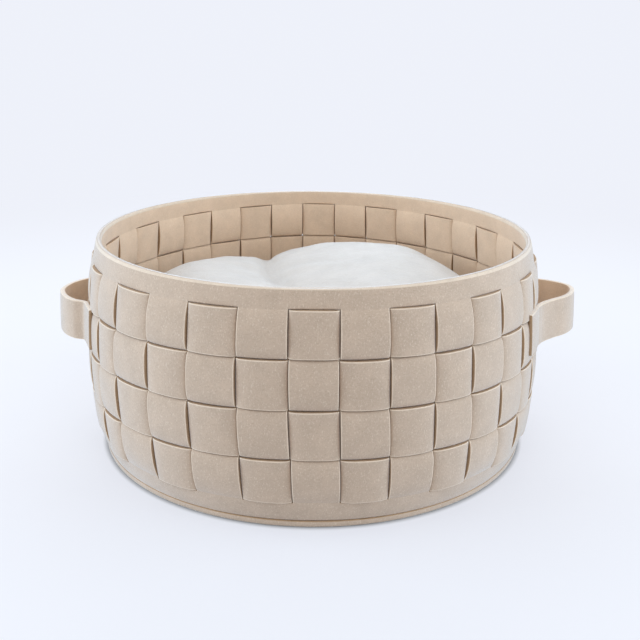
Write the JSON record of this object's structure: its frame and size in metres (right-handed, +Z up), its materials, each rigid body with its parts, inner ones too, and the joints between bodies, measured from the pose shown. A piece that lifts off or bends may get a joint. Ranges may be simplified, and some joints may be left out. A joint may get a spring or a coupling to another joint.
{
  "type": "woven felt basket cat bed with cushion",
  "caption": "Round open-top pet bed: a basket wall woven from thick felt strips, a felt base, loop handles on two sides and a filled plush cushion.",
  "frame": {"origin": "centre of the bed's footprint, on the surface it stands on", "axes": "+Z up along the basket's axis, +X out to the side of the right handle, whose middle lies a little ahead of the X axis, the front of the bed faces -Y"},
  "size_m": [0.4564, 0.3996, 0.186],
  "materials": {
    "felt": "matte heathered felt",
    "plush": "matte short plush"
  },
  "bodies": {
    "root": {"wall": "felt", "weaver_1": "felt", "weaver_2": "felt", "weaver_3": "felt", "weaver_4": "felt", "base": "felt", "handle_left": "felt", "handle_right": "felt", "cushion": "plush"}
  },
  "joints": []
}
